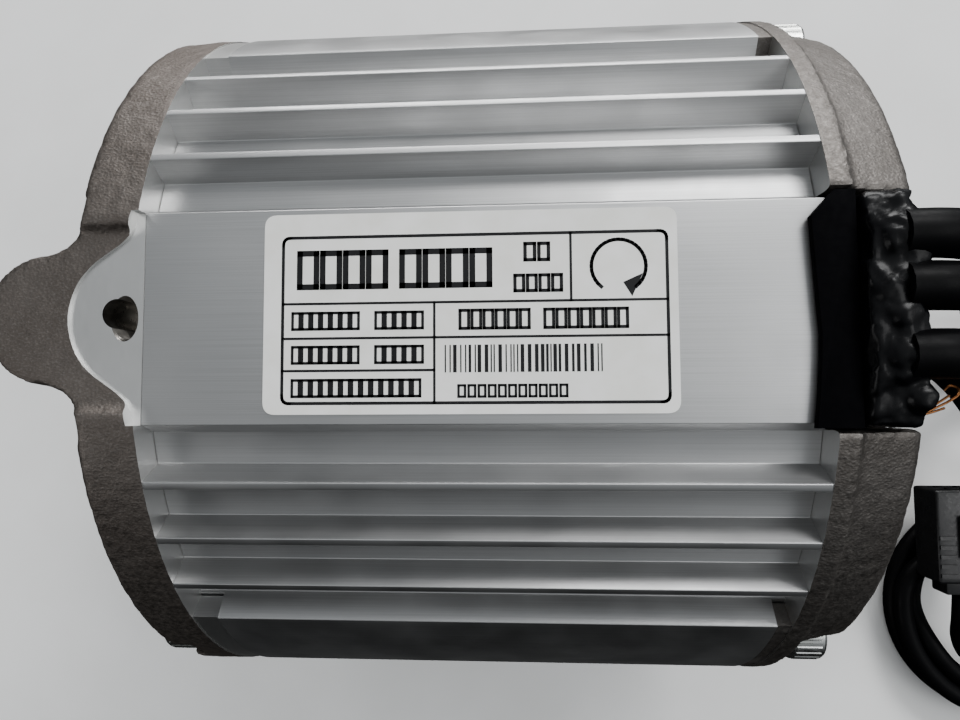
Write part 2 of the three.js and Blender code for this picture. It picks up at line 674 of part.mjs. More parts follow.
place("sensor_lead", lead(SENSOR_DROP, SENSOR_LEAD_D, 8, 18), JACKET, group);
place("sensor_lead_coil", coiledLead(), JACKET, group);
place("sensor_lead_tail", lead(SENSOR_TAIL, SENSOR_LEAD_D, 8, 5), JACKET, group);
place("sensor_plug", sensorPlug(), BLACK_PLASTIC, group);

export default group;
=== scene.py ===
"""Looks of a finned brushless motor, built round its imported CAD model.

The motor lies on its foot with its shaft along X. Shapes are drawn in millimetres in one of two frames and
are then moved into the row frame in metres: MOTOR has its origin on the shaft axis at the housing's front
face, and TABLE has its origin on the floor under the middle of the motor.
"""

import json
import math
import random

import bmesh
import bpy
from mathutils import Euler, Matrix, Vector, noise


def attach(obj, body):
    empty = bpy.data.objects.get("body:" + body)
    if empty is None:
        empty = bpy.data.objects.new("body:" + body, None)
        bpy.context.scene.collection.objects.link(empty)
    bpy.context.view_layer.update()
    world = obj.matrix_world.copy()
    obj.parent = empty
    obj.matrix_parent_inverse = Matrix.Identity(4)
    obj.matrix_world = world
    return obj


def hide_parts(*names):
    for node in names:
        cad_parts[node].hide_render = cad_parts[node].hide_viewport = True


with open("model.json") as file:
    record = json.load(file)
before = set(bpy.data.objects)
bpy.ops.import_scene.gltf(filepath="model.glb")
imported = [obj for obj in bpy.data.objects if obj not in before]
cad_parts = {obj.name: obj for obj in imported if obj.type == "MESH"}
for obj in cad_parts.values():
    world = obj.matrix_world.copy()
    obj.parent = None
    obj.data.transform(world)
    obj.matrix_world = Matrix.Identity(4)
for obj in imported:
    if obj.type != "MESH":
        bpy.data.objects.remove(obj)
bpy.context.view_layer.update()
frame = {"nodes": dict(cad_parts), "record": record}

MM = 0.001
TABLE = Matrix.Scale(MM, 4)
MOTOR = Matrix.Translation((-0.026, 0, 0.053)) @ TABLE
STATIC = "motor_frame"
SPINNING = "rotor"

TIP_R = 56.0
FLOOR_R = 52.2
BORE_R = 48.0
PAD_HEIGHT = 53.0
PAD_HALF = 12.8
FRONT_TONGUE = 3.6  # how far each bell's tongues reach over the ends of the tie-screw lobes
REAR_TONGUE = 1.9
HOUSING_LENGTH = 80.0
FIN_ANGLES = (21, 29.1, 37.3, 82.2, 90)
LOBE_ANGLES = (44.9, 75.1)
TIE_ANGLES = (60, 120, 240, 300)
TIE_R = 51.2
TIE_DEPTH = 16.0
REAR_BOSS = 94.0
SPROCKET_TEETH = 8


def add(name, data):
    """A new object in the scene that holds the data."""
    made = bpy.data.objects.new(name, data)
    bpy.context.scene.collection.objects.link(made)
    return made


def map_range(tree, value, start, end, low, high):
    ramp = tree.nodes.new("ShaderNodeMapRange")
    for socket, number in zip(("From Min", "From Max", "To Min", "To Max"), (start, end, low, high)):
        ramp.inputs[socket].default_value = number
    tree.links.new(value, ramp.inputs["Value"])
    return ramp


# ---- camera, floor and light ----------------------------------------------------------------------------

def make_camera():
    """The camera looks down on the label from a hand's width above it."""
    data = bpy.data.cameras.new("camera")
    data.lens, data.sensor_width = 24.33, 36
    data.clip_start, data.clip_end = 0.005, 10
    camera = add("camera", data)
    place = Vector((0.01904, -0.00998, 0.1808))
    tilt = Euler([math.radians(angle) for angle in (3.4975, 3.5053, -0.306)])
    camera.matrix_world = Matrix.LocRotScale(place, tilt, None)
    bpy.context.scene.camera = camera


def softbox(name, place, target, size, power, colour=(1, 1, 1)):
    data = bpy.data.lights.new(name, "AREA")
    data.shape, data.size, data.size_y = "RECTANGLE", size[0], size[1]
    data.energy, data.color = power, colour
    lamp = add(name, data)
    lamp.location = place
    lamp.rotation_mode = "QUATERNION"
    lamp.rotation_quaternion = (Vector(target) - Vector(place)).to_track_quat("-Z", "Y")


def make_studio():
    """A room that is light overhead and on the far side, and dark on the near side and below."""
    world = bpy.data.worlds.new("studio")
    world.use_nodes = True
    tree = world.node_tree
    background = tree.nodes["Background"]
    background.inputs["Color"].default_value = (0.93, 0.97, 1.0, 1)
    direction = tree.nodes.new("ShaderNodeTexCoord").outputs["Generated"]
    toward = tree.nodes.new("ShaderNodeVectorMath")
    toward.operation = "DOT_PRODUCT"
    toward.inputs[1].default_value = (0.35, 0.45, 0.82)
    tree.links.new(direction, toward.inputs[0])
    ramp = map_range(tree, toward.outputs["Value"], -0.1, 1.0, 0.008, 0.76)
    ramp.interpolation_type = "SMOOTHSTEP"
    tree.links.new(ramp.outputs["Result"], background.inputs["Strength"])
    bpy.context.scene.world = world
    softbox("key", (0.45, 0.85, 0.8), (0, 0, 0.05), (0.6, 0.3), 10)
    softbox("window", (0.1, 1.1, 0.14), (0, 0, 0.06), (1.2, 0.26), 13)
    softbox("overhead", (0.75, 0, 1.0), (0, 0, 0.05), (0.6, 0.6), 3.4)
    softbox("drive_side", (-0.8, -0.3, 0.55), (0, 0, 0.05), (0.4, 0.4), 1.2)


# ---- mesh helpers ---------------------------------------------------------------------------------------

def polar(radius, degrees):
    """The point at a radius and an angle from +Z towards +Y, as (y, z)."""
    angle = math.radians(degrees)
    return radius * math.sin(angle), radius * math.cos(angle)


def arc(radius, start, end, steps):
    return [polar(radius, start + (end - start) * k / steps) for k in range(steps + 1)]


def piece(name, points, faces, material):
    mesh = bpy.data.meshes.new(name)
    mesh.from_pydata(points, [], faces)
    mesh.materials.append(material)
    made = add(name, mesh)
    tidy = bmesh.new()
    tidy.from_mesh(mesh)
    bmesh.ops.remove_doubles(tidy, verts=tidy.verts, dist=1e-4)
    bmesh.ops.recalc_face_normals(tidy, faces=tidy.faces)
    tidy.to_mesh(mesh)
    tidy.free()
    return made


def bake(made):
    """Applies the modifiers of a piece."""
    graph = bpy.context.evaluated_depsgraph_get()
    mesh = bpy.data.meshes.new_from_object(made.evaluated_get(graph))
    made.modifiers.clear()
    made.data = mesh
    return made


def drop(*pieces):
    for old in pieces:
        bpy.data.objects.remove(old)


def combine(made, how, *tools):
    """Cuts tools from a piece or joins them to it; the tools are used up."""
    for tool in tools:
        step = made.modifiers.new(how, "BOOLEAN")
        step.operation, step.object, step.solver = how, tool, "EXACT"
        step.material_mode = "TRANSFER"
    bake(made)
    drop(*tools)
    assert made.data.polygons, f"nothing is left of {made.name}"
    return made


def bevel(made, width, segments=2, angle=30):
    step = made.modifiers.new("bevel", "BEVEL")
    step.width, step.segments = width, segments
    step.limit_method, step.angle_limit = "ANGLE", math.radians(angle)
    step.use_clamp_overlap = True
    return bake(made)


def shade(made, angle=30):
    """Smooth shading, except across edges sharper than the angle and edges between two finishes."""
    made.data.polygons.foreach_set("use_smooth", [True] * len(made.data.polygons))
    edges = bmesh.new()
    edges.from_mesh(made.data)
    for edge in edges.edges:
        one_finish = len({face.material_index for face in edge.link_faces}) == 1
        shallow = len(edge.link_faces) == 2 and edge.calc_face_angle(0) < math.radians(angle)
        edge.smooth = one_finish and shallow
    edges.to_mesh(made.data)
    edges.free()
    return made


def settle(made, body, slot, *nodes, space=MOTOR, angle=30):
    """Moves a finished piece into the row frame, on its body, in place of its CAD nodes."""
    shade(made, angle)
    made.data.transform(space)
    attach(made, body)
    if nodes:
        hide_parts(*nodes)
    return made


def turned(name, profile, material, sides=128):
    """Turns a profile of (x, radius) about the shaft axis; it ends on the axis or closes on itself."""
    points, faces = [], []
    for k in range(sides):
        for x, radius in profile:
            y, z = polar(radius, 360 * k / sides)
            points.append((x, y, z))
    count = len(profile)
    open_end = profile[0][1] == 0
    for k in range(sides):
        here, there = k * count, (k + 1) % sides * count
        for i in range(count - 1 if open_end else count):
            j = (i + 1) % count
            corners = [here + i, here + j, there + j, there + i]
            if profile[i][1] == 0:
                corners = [here + i, here + j, there + j]
            elif profile[j][1] == 0:
                corners = [here + i, here + j, there + i]
            faces.append(corners)
    return piece(name, points, faces, material)


def prism(name, outline, low, high, material, upright=False):
    """Extrudes an outline of (y, z) along x, or of (x, y) along z when upright."""
    place = (lambda a, b, c: (a, b, c)) if upright else (lambda a, b, c: (c, a, b))
    count = len(outline)
    points = [place(a, b, low) for a, b in outline] + [place(a, b, high) for a, b in outline]
    faces = [list(range(count)), list(range(count, 2 * count))]
    faces += [[k, (k + 1) % count, count + (k + 1) % count, count + k] for k in range(count)]
    return piece(name, points, faces, material)


def block(name, low, high, material):
    outline = [(low[0], low[1]), (high[0], low[1]), (high[0], high[1]), (low[0], high[1])]
    return prism(name, outline, low[2], high[2], material, upright=True)


def rod(name, x0, x1, radius, centre, material, sides=48):
    outline = [(centre[0] + y, centre[1] + z) for y, z in arc(radius, 0, 360 * (1 - 1 / sides), sides - 1)]
    return prism(name, outline, x0, x1, material)


def post(name, centre, radius, z0, z1, material, sides=48):
    ring = [2 * math.pi * k / sides for k in range(sides)]
    outline = [(centre[0] + radius * math.cos(a), centre[1] + radius * math.sin(a)) for a in ring]
    return prism(name, outline, z0, z1, material, upright=True)


def rounded(outline, radius, steps=4):
    """The outline with each corner replaced by an arc that is tangent to both sides."""
    made = []
    for k, corner in enumerate(outline):
        here = Vector(corner)
        before = Vector(outline[k - 1]) - here
        after = Vector(outline[(k + 1) % len(outline)]) - here
        half = before.angle(after) / 2
        if half > math.radians(84):
            made.append(tuple(here))
            continue
        reach = min(radius / math.tan(half), before.length * 0.45, after.length * 0.45)
        start, end = here + before.normalized() * reach, here + after.normalized() * reach
        for i in range(steps + 1):
            t = i / steps
            made.append(tuple((1 - t) ** 2 * start + 2 * t * (1 - t) * here + t * t * end))
    return made


def turn(made, degrees):
    """Turns a piece about the shaft axis, from +Z towards +Y."""
    made.data.transform(Matrix.Rotation(-math.radians(degrees), 4, "X"))
    return made


def roughen(made, depth, scale):
    """Moves the points of a dense mesh in and out by smooth noise, in millimetres."""
    normals = [v.normal.copy() for v in made.data.vertices]
    for v, normal in zip(made.data.vertices, normals):
        v.co += normal * depth * noise.fractal(v.co / scale, 0.7, 2.1, 3)
    return made


def remesh(made, voxel, smoothing):
    step = made.modifiers.new("voxels", "REMESH")
    step.mode, step.voxel_size = "VOXEL", voxel
    step = made.modifiers.new("smooth", "SMOOTH")
    step.factor, step.iterations = 0.5, smoothing
    return bake(made)


# ---- materials ------------------------------------------------------------------------------------------

class Look:
    """A material whose noise, ramps and bumps feed one shader. Scales are in features per millimetre."""

    def __init__(self, name, colour, roughness, metallic=0.0, **sockets):
        self.material = bpy.data.materials.new(name)
        self.material.use_nodes = True
        self.tree = self.material.node_tree
        self.shader = self.tree.nodes["Principled BSDF"]
        self.place = self.tree.nodes.new("ShaderNodeTexCoord").outputs["Object"]
        self.colour, self.normal = (*colour, 1), None
        self.shader.inputs["Base Color"].default_value = self.colour
        self.shader.inputs["Roughness"].default_value = roughness
        self.shader.inputs["Metallic"].default_value = metallic
        for socket, value in sockets.items():
            self.shader.inputs[socket.replace("_", " ")].default_value = value

    def pattern(self, kind, scales):
        """A texture node that repeats along each axis at its own scale."""
        mapping = self.tree.nodes.new("ShaderNodeMapping")
        mapping.inputs["Scale"].default_value = [scale / MM for scale in scales]
        self.tree.links.new(self.place, mapping.inputs["Vector"])
        texture = self.tree.nodes.new(kind)
        texture.inputs["Scale"].default_value = 1
        self.tree.links.new(mapping.outputs["Vector"], texture.inputs["Vector"])
        return texture

    def noise(self, scale, stretch=(1, 1, 1), detail=4.0):
        texture = self.pattern("ShaderNodeTexNoise", [scale * s for s in stretch])
        texture.inputs["Detail"].default_value = detail
        return texture.outputs["Fac"]

    def grains(self, scale):
        """Distance to the nearest of scattered grains."""
        return self.pattern("ShaderNodeTexVoronoi", [scale] * 3).outputs["Distance"]

    def wear(self):
        """High on convex edges of a dense mesh."""
        return self.tree.nodes.new("ShaderNodeNewGeometry").outputs["Pointiness"]

    def spread(self, value, start, end, low, high):
        return map_range(self.tree, value, start, end, low, high).outputs["Result"]

    def tint(self, value, colour, start=0.35, end=0.65, most=1.0):
        """Mixes another colour in where the value is high."""
        mix = self.tree.nodes.new("ShaderNodeMix")
        mix.data_type = "RGBA"
        source = self.shader.inputs["Base Color"]
        mix.inputs[6].default_value = self.colour
        mix.inputs[7].default_value = (*colour, 1)
        if source.is_linked:
            self.tree.links.new(source.links[0].from_socket, mix.inputs[6])
        self.tree.links.new(self.spread(value, start, end, 0, most), mix.inputs[0])
        self.tree.links.new(mix.outputs[2], source)
        return self

    def rough(self, value, low, high, start=0.3, end=0.7):
        self.tree.links.new(self.spread(value, start, end, low, high), self.shader.inputs["Roughness"])
        return self

    def bump(self, value, depth):
        """A bump of so many millimetres on top of those before it."""
        node = self.tree.nodes.new("ShaderNodeBump")
        node.inputs["Strength"].default_value = 1
        node.inputs["Distance"].default_value = depth * MM
        self.tree.links.new(value, node.inputs["Height"])
        if self.normal:
            self.tree.links.new(self.normal, node.inputs["Normal"])
        self.normal = node.outputs["Normal"]
        self.tree.links.new(self.normal, self.shader.inputs["Normal"])
        return self


def extruded_look():
    look = Look("extruded_aluminium", (0.48, 0.483, 0.485), 0.4, 1.0)
    grain = look.noise(7, (0.006, 1, 1), 5)
    patches = look.noise(0.06)
    look.tint(patches, (0.43, 0.432, 0.433), most=0.6).tint(grain, (0.37, 0.37, 0.37), 0.4, 0.75, 0.7)
    look.rough(look.noise(0.12), 0.38, 0.48)
    return look.bump(grain, 0.003).bump(look.noise(0.9, detail=6), 0.0012).material


def cast_look(name, colour, dark, light):
    look = Look(name, colour, 0.55, 1.0)
    sand = look.noise(4.5, (0.6, 1, 1), 8)
    look.tint(look.noise(0.09), dark, most=0.55).tint(sand, light, 0.5, 0.68, 0.4)
    look.tint(look.wear(), light, 0.52, 0.6, 0.4).rough(look.noise(1.5), 0.46, 0.66)
    return look.bump(sand, 0.05).bump(look.grains(2.6), 0.035).bump(look.noise(0.8), 0.05).material


def machined_look():
    look = Look("machined_aluminium", (0.70, 0.70, 0.69), 0.34, 1.0)
    marks = look.noise(5, (1, 0.08, 1), 5)
    look.tint(look.noise(0.2), (0.65, 0.65, 0.64), most=0.6).rough(marks, 0.32, 0.42)
    return look.bump(marks, 0.0015).material


# The stain colour is a real stain on the steels and painted shade on the thread finish.
def steel_look(name, colour, low, high, stain_and_shade):
    look = Look(name, colour, low, 1.0)
    look.tint(look.noise(0.35), stain_and_shade, most=0.6).rough(look.noise(1.2, detail=6), low, high)
    return look.bump(look.noise(6, (0.1, 1, 1)), 0.004).material


def plain_look(name, colour, low, high, scale, depth, metallic=0.0, **sockets):
    """Moulded, coated or wound surfaces: mottled gloss and a fine even texture."""
    look = Look(name, colour, low, metallic, **sockets)
    lighter = [min(1, channel * 1.5) for channel in colour]
    look.tint(look.noise(scale / 12), lighter, most=0.5).rough(look.noise(scale / 4), low, high)
    return look.bump(look.noise(scale, detail=6), depth).material


EXTRUDED = extruded_look()
FRONT_CAST = cast_look(
    "cast_aluminium_front", (0.165, 0.146, 0.132), (0.102, 0.084, 0.073), (0.27, 0.25, 0.235),
)
REAR_CAST = cast_look("cast_aluminium_rear", (0.14, 0.129, 0.12), (0.088, 0.078, 0.07), (0.28, 0.265, 0.25))
MACHINED = machined_look()
# painted shade: the thread finish is a darkened copy of the machined aluminium with dark stain colour,
# standing for the shade inside the tapped holes
SHADED_THREAD = steel_look("cut_thread_painted_shade", (0.42, 0.40, 0.37), 0.24, 0.4, (0.12, 0.11, 0.10))
ZINC = steel_look("zinc_plate", (0.72, 0.73, 0.72), 0.2, 0.36, (0.60, 0.61, 0.56))
SHAFT_STEEL = steel_look("turned_steel", (0.52, 0.52, 0.53), 0.24, 0.42, (0.40, 0.38, 0.36))
BEARING_STEEL = steel_look("bearing_steel", (0.66, 0.67, 0.68), 0.12, 0.24, (0.56, 0.56, 0.57))
LAMINATION = steel_look("lamination_steel", (0.26, 0.27, 0.29), 0.4, 0.6, (0.18, 0.17, 0.17))
NICKEL = steel_look("nickel_plate", (0.60, 0.59, 0.56), 0.22, 0.36, (0.50, 0.49, 0.46))
TINNED = steel_look("tinned_brass", (0.74, 0.73, 0.69), 0.22, 0.4, (0.60, 0.55, 0.44))
COPPER = plain_look("enamelled_copper", (0.62, 0.26, 0.10), 0.2, 0.4, 4, 0.02, 1.0)
NYLON = plain_look("nylon", (0.78, 0.74, 0.64), 0.45, 0.6, 3, 0.01)
BOARD = plain_look("circuit_board", (0.03, 0.16, 0.07), 0.3, 0.45, 4, 0.01)
BLACK_PLASTIC = plain_look(
    "moulded_black", (0.006, 0.006, 0.0065), 0.26, 0.42, 5, 0.008, Specular_IOR_Level=0.4,
)
RUBBER = plain_look("black_rubber", (0.0015, 0.0015, 0.002), 0.6, 0.8, 4, 0.015, Specular_IOR_Level=0.02)
JACKET = plain_look("lead_jacket", (0.0022, 0.0022, 0.0025), 0.36, 0.5, 3, 0.008, Specular_IOR_Level=0.06)
SEALANT = plain_look("silicone", (0.0015, 0.0015, 0.002), 0.2, 0.36, 1.2, 0.01, Specular_IOR_Level=0.16)
FILM = plain_look("label_film", (0.86, 0.855, 0.815), 0.32, 0.44, 3, 0.003)
INK = plain_look("label_ink", (0.008, 0.008, 0.009), 0.45, 0.6, 6, 0.002, Specular_IOR_Level=0.2)
FLOOR = plain_look("floor", (0.90, 0.90, 0.89), 0.75, 0.9, 0.4, 0.005)


# ---- leads ----------------------------------------------------------------------------------------------

PHASE_D = 5.5
LANDING_X = 154
TURN_Y = 38
PHASE_ROWS = ((7.8, 11, 64), (2.1, 2, 50), (-5.3, -7, 36))  # y, y at the landing, straight run
PHASE_DROP = (  # x, share of the way from y to the landing's y, z
    (64.3, 0, 108.6), (68, 0, 107.6), (74, 0.05, 102.6), (80, 0.12, 96.4), (86, 0.2, 89), (92, 0.3, 80.4),
    (98, 0.42, 70.8), (104, 0.54, 60.4), (110, 0.66, 49.6), (116, 0.76, 38.8), (122, 0.85, 28.4),
    (128.5, 0.92, 18.6), (136, 0.97, 10.2), (145, 1, 4.8),
)
SENSOR_D = 4.5
SENSOR_DROP = (
    (64.3, -5, 99.4), (70, -5.4, 97.6), (76, -7.6, 92.8), (83, -11, 85.6), (90, -14, 77), (97, -16.2, 67.6),
    (104, -18, 57.8), (111, -19.6, 47.6), (118, -21.2, 37.6), (125.5, -23, 27.6), (133.5, -25.2, 18.6),
    (142, -28, 11), (150, -31.4, 5.8), (156.4, -35.4, 3.3), (160.6, -40, 2.7), (162.4, -44, 2.6),
)
SENSOR_TAIL = (
    (135.8, -77, 7), (130.8, -74.4, 7.6), (127.4, -69.6, 9.6), (125.8, -63.8, 12.8), (125.5, -58, 14),
)
COIL_CENTRE = (140, -63)
COIL_STEPS = (  # angle in degrees, clockwise, with the radius and height of the lead there
    (20, 26.6, 2.5), (-10, 24.75, 2.45), (-232, 24.75, 2.45), (-272, 24.75, 6.95), (-548, 24.75, 6.95),
    (-588, 20.25, 6.95), (-865, 20.25, 6.95), (-905, 20.25, 2.45), (-1130, 20.25, 2.45), (-1172, 16.4, 5.6),
)


def smooth_route(route, per_span=8):
    """Points along a centripetal Catmull-Rom curve through the route."""
    points = [Vector(p) for p in route]
    points = [2 * points[0] - points[1], *points, 2 * points[-1] - points[-2]]
    made = [points[1]]
    for a, b, c, d in zip(points, points[1:], points[2:], points[3:]):
        ta, tb, tc = (math.sqrt(max((q - p).length, 1e-6)) for p, q in ((a, b), (b, c), (c, d)))
        leave = ((b - a) / ta - (c - a) / (ta + tb) + (c - b) / tb) * tb
        reach = ((c - b) / tb - (d - b) / (tb + tc) + (d - c) / tc) * tb
        for k in range(1, per_span + 1):
            t = k / per_span
            made.append(
                (2 * t**3 - 3 * t**2 + 1) * b + (t**3 - 2 * t**2 + t) * leave
                + (3 * t**2 - 2 * t**3) * c + (t**3 - t**2) * reach
            )
    return made


def tube(name, points, diameter, material):
    """A round wire as one open spline, in the row frame."""
    curve = bpy.data.curves.new(name, "CURVE")
    curve.dimensions, curve.bevel_depth, curve.bevel_resolution = "3D", diameter / 2 * MM, 5
    curve.use_fill_caps = True
    spline = curve.splines.new("POLY")
    spline.points.add(len(points) - 1)
    for target, point in zip(spline.points, points):
        target.co = (*(Vector(point) * MM), 1)
    curve.materials.append(material)
    return add(name, curve)


def lead(name, points, diameter):
    made = tube(name, points, diameter, JACKET)
    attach(made, STATIC)
    return made


def length_of(points):
    return sum((b - a).length for a, b in zip(points, points[1:]))


def phase_route(y, landing_y, straight):
    route = [(x, y + (landing_y - y) * share, z) for x, share, z in PHASE_DROP]
    bend = TURN_Y - landing_y
    for k in range(7):
        angle = math.pi / 2 * k / 6
        route.append((LANDING_X + bend * math.sin(angle), TURN_Y - bend * math.cos(angle), 3.1))
    return route + [(LANDING_X + bend, TURN_Y + straight * share, 3.1) for share in (0.5, 1)]


def bullet(name, end, node):
    """An insulated bullet connector with a ribbed sleeve and a split tip, pointing along +y."""
    sleeve = turned(f"{name}_sleeve", [
        (0, 0), (0, 2.55), (0.5, 2.95), (4, 2.95), (4.3, 2.7), (4.9, 2.7), (5.2, 2.95), (6.4, 2.95),
        (6.7, 2.7), (7.3, 2.7), (7.6, 2.95), (14.2, 2.95), (15, 2.5), (15, 0),
    ], BLACK_PLASTIC, 48)
    tip = turned(f"{name}_tip", [
        (14.6, 0), (14.6, 1.9), (19, 1.95), (20.2, 1.6), (21.4, 1.3), (22, 0.6), (22, 0),
    ], TINNED, 48)
    combine(tip, "DIFFERENCE", block("split", (18, -0.2, -3), (23, 0.2, 3), TINNED))
    for body, slot, nodes in ((sleeve, "black_plastic", [node]), (tip, "tinned_brass", [])):
        body.data.transform(Matrix.Rotation(math.pi / 2, 4, "Z"))
        body.data.transform(Matrix.Translation((end[0], end[1] + 0.3, end[2])))
        settle(body, STATIC, slot, *nodes, space=TABLE)
    return [sleeve, tip]


def coil_route():
    """The coiled stretch of the sensor lead, wound clockwise in two layers of two turns."""
    made = []
    for (a0, r0, z0), (a1, r1, z1) in zip(COIL_STEPS, COIL_STEPS[1:]):
        count = max(2, round(abs(a1 - a0) / 8))
        for k in range(count):
            t = k / count
            ease = t * t * (3 - 2 * t)
            angle, radius = math.radians(a0 + (a1 - a0) * t), r0 + (r1 - r0) * ease
            x, y = COIL_CENTRE[0] + radius * math.cos(angle), COIL_CENTRE[1] + radius * math.sin(angle)
            made.append((x, y, z0 + (z1 - z0) * ease))
    return made


def make_leads():
    for k, row in enumerate(PHASE_ROWS):
        route = phase_route(*row)
        points = smooth_route([(60.5, row[0], 108.5), *route])
        cable = lead(f"phase_cable_{k + 1}", points, PHASE_D)
        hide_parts(f"phase_lead_{k + 1}")
        connector = bullet(f"phase_connector_{k + 1}", route[-1], f"phase_bullet_{k + 1}")
    points = smooth_route([*SENSOR_DROP[:-1], *coil_route(), *SENSOR_TAIL], 6)
    cable = lead("sensor_cable", points, SENSOR_D)
    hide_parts("sensor_lead", "sensor_lead_coil", "sensor_lead_tail")
    print("sensor lead length, mm:", round(length_of(points), 1))
    make_plug()
    make_tie()


def make_plug():
    """A six-way plug with grip ribs, a latch and a row of contact openings."""
    body = block("sensor_connector", (117.5, -54, 9.3), (133.5, -32, 18.6), BLACK_PLASTIC)
    bevel(body, 0.7, 3)
    collar = block("collar", (120, -57, 11), (131, -53, 17), BLACK_PLASTIC)
    latch = block("latch", (122.5, -48, 18), (128.5, -38, 20), BLACK_PLASTIC)
    ribs = []
    for k in range(5):
        y = 2.2 * k
        ribs.append(block("rib", (117.9, -52.5 + y, 18), (121.6, -51.6 + y, 18.95), BLACK_PLASTIC))
    combine(body, "UNION", bevel(collar, 0.5), bevel(latch, 0.4), *ribs)
    ways = []
    for i in range(3):
        for j in range(2):
            low = (119.3 + 4.6 * i, -38, 10.5 + 4 * j)
            high = (122.1 + 4.6 * i, -31, 13.1 + 4 * j)
            ways.append(block("way", low, high, BLACK_PLASTIC))
    combine(body, "DIFFERENCE", *ways)
    return settle(body, STATIC, "black_plastic", "sensor_plug", space=TABLE)


def make_tie():
    """A flat tie round the coil, on the side away from the plug."""
    outline = rounded([(17.6, 0.05), (27.25, 0.05), (27.25, 9.35), (17.6, 9.35)], 1.9, 5)
    inner = rounded([(18.2, 0.3), (26.8, 0.3), (26.8, 8.95), (18.2, 8.95)], 1.7, 5)
    band = prism("coil_tie", outline, -2, 2, BLACK_PLASTIC)
    combine(band, "DIFFERENCE", prism("inside", inner, -3, 3, BLACK_PLASTIC))
    bevel(band, 0.15, 1, 50)
    band.data.transform(Matrix.Rotation(math.radians(-60), 4, "Z"))
    band.data.transform(Matrix.Translation((*COIL_CENTRE, 0)))
    return settle(band, STATIC, "black_plastic", space=TABLE)


# ---- housing and end bells ------------------------------------------------------------------------------

def housing_outline():
    """The housing's whole outline, with rounded fins, as (y, z)."""
    tip, root = math.degrees(0.5 / TIP_R), math.degrees(1.15 / FLOOR_R)
    quarter = [(PAD_HALF, PAD_HEIGHT), (PAD_HALF + 0.9, 50.3)]

    def fin(angle):
        corners = ((FLOOR_R, -root), (TIP_R, -tip), (TIP_R, tip), (FLOOR_R, root))
        return [polar(radius, angle + offset) for radius, offset in corners]

    for angle in FIN_ANGLES[:3]:
        quarter += fin(angle)
    start, end = LOBE_ANGLES
    quarter += [polar(FLOOR_R, start - 0.8), *arc(TIP_R, start, end, 20), polar(FLOOR_R, end + 0.8)]
    quarter += fin(FIN_ANGLES[3]) + fin(FIN_ANGLES[4])[:2]
    half = quarter + [(y, -z) for y, z in reversed(quarter)]
    return rounded(half + [(-y, z) for y, z in reversed(half)], 0.22, 3)


def make_housing():
    outline = housing_outline()
    bore = [tuple(Vector(p).normalized() * BORE_R) for p in outline]
    chamfer = 0.12
    edge = [tuple(Vector(p) * (1 - chamfer / TIP_R)) for p in outline]
    count = len(outline)
    rings = ((0, bore), (0, edge), (chamfer, outline), (HOUSING_LENGTH - chamfer, outline))
    rings += ((HOUSING_LENGTH, edge), (HOUSING_LENGTH, bore))
    points = [(x, y, z) for x, loop in rings for y, z in loop]
    faces = []
    for i in range(len(rings)):
        j = (i + 1) % len(rings)
        for k in range(count):
            m = (k + 1) % count
            faces.append([i * count + k, i * count + m, j * count + m, j * count + k])
    body = piece("finned_shell", points, faces, EXTRUDED)
    pocket = [*arc(52.5, 44, 76, 16), *arc(58, 76, 44, 16)]
    pocket_spans = ((-1, FRONT_TONGUE), (HOUSING_LENGTH - REAR_TONGUE, HOUSING_LENGTH + 1))
    thread_spans = ((-1, TIE_DEPTH), (HOUSING_LENGTH - TIE_DEPTH, HOUSING_LENGTH + 1))
    tools = []
    for angle in TIE_ANGLES:
        tools += [turn(prism("pocket", pocket, *span, EXTRUDED), angle - 60) for span in pocket_spans]
        centre = polar(TIE_R, angle)
        tools += [rod("thread", *span, 2.4, centre, EXTRUDED, 24) for span in thread_spans]
    combine(body, "DIFFERENCE", *tools)
    return settle(body, STATIC, "extruded_aluminium", "finned_housing", angle=24)


def tongue(x0, x1, angle, material, outer_material):
    """A piece of ring that carries on the outline of a tie-screw lobe."""
    inner, outer, reach = 52.7, 55.8, 15
    outline = [*arc(inner, angle - reach, angle + reach, 16), *arc(outer, angle + reach, angle - reach, 16)]
    made = prism("tongue", outline, x0, x1, material)
    made.data.materials.append(outer_material)
    for face in made.data.polygons:
        if math.hypot(face.center.y, face.center.z) > outer - 0.1:
            face.material_index = 1
    return made


def lug_plan():
    """Plan of the front lug: flared roots, straight sides and a half-round nose."""
    side = [(-8, -12), (-8.6, -10.2), (-9.7, -8.8), (-12, -8)]
    nose = [(-12 - 8 * math.sin(a), -8 * math.cos(a)) for a in (math.pi * k / 16 for k in range(1, 16))]
    return [(-1, -12), *side, *nose, *[(x, -y) for x, y in reversed(side)], (-1, 12)]


def seat_plan():
    """Plan of the milled seat: a half-round that flares where it meets the housing."""
    flare = [(0.4, -PAD_HALF), (-0.9, -PAD_HALF), (-1.1, -11.6), (-1.7, -10), (-2.8, -9)]
    angles = [math.radians(238 - 116 * k / 24) for k in range(25)]
    curve = [(9.15 * math.cos(a), 8.9 * math.sin(a)) for a in angles]
    return [*flare, *curve, *[(x, -y) for x, y in reversed(flare)]]


def thread_tool(centre, low, high, material, squash=1.0):
    """A cutter with the grooves of an M6 thread, standing along z; squash narrows it along x."""
    profile = [(low, 0)]
    steps = int((high - low) * 2)
    profile += [(low + k / 2, 2.5 if k % 2 else 2.95) for k in range(steps + 1)]
    tool = turned("thread", [*profile, (low + steps / 2, 0)], material, 48)
    tool.data.transform(Matrix.Rotation(-math.pi / 2, 4, "Y"))
    tool.data.transform(Matrix.Diagonal((squash, 1, 1, 1)))
    tool.data.transform(Matrix.Translation((*centre, 0)))
    return tool


